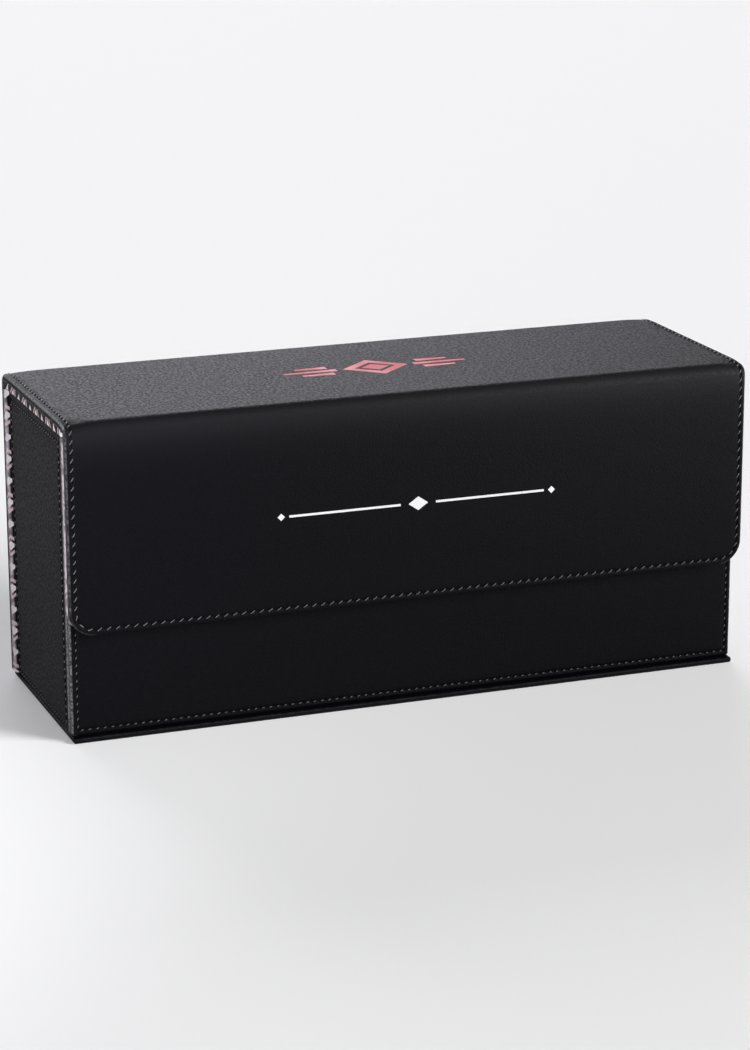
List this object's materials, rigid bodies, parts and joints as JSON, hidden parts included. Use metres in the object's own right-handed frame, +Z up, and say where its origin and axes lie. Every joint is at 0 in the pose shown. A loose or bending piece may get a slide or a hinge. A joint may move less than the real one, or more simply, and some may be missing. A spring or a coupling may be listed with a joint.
{
  "type": "trading card storage box",
  "caption": "Long box for one row of upright cards: stitched leather-look panels with a printed lining, a lid hinged on its own skin and a front flap held by magnets.",
  "frame": {"origin": "middle of the closed box's length and depth, on the surface it stands on", "axes": "+X along the card row, -Y towards the flap at the front, +Z up"},
  "size_m": [0.345, 0.116, 0.155],
  "materials": {
    "leather": "fine grained, satin",
    "lining": "printed, matt",
    "board": "raw greyboard",
    "magnet": "nickel plated",
    "keeper": "plain"
  },
  "bodies": {
    "case": {"base_leather": "leather", "base_board": "board", "floor_lining": "lining", "back_leather": "leather", "back_board": "board", "back_lining": "lining", "front_leather": "leather", "front_board": "board", "front_lining": "lining", "left_end_leather": "leather", "left_end_board": "board", "left_end_lining": "lining", "right_end_leather": "leather", "right_end_board": "board", "right_end_lining": "lining", "front_keepers": "keeper", "lid_fold_leather": "leather", "lid_fold_lining": "lining"},
    "lid": {"lid_leather": "leather", "lid_board": "board", "lid_lining": "lining", "flap_fold_leather": "leather", "flap_fold_lining": "lining"},
    "flap": {"flap_leather": "leather", "flap_board": "board", "flap_lining": "lining", "flap_magnets": "magnet"}
  },
  "joints": [
    {"name": "lid_hinge", "type": "hinge", "parent": "case", "child": "lid", "pos_m": [0, 0.05693, 0.15393], "axis": [-1, 0, 0], "range_deg": [0, 178], "deforming": ["lid_fold_leather", "lid_fold_lining"]},
    {"name": "flap_hinge", "type": "hinge", "parent": "lid", "child": "flap", "pos_m": [0, -0.05693, 0.15393], "axis": [-1, 0, 0], "range_deg": [0, 178], "deforming": ["flap_fold_leather", "flap_fold_lining"]}
  ]
}
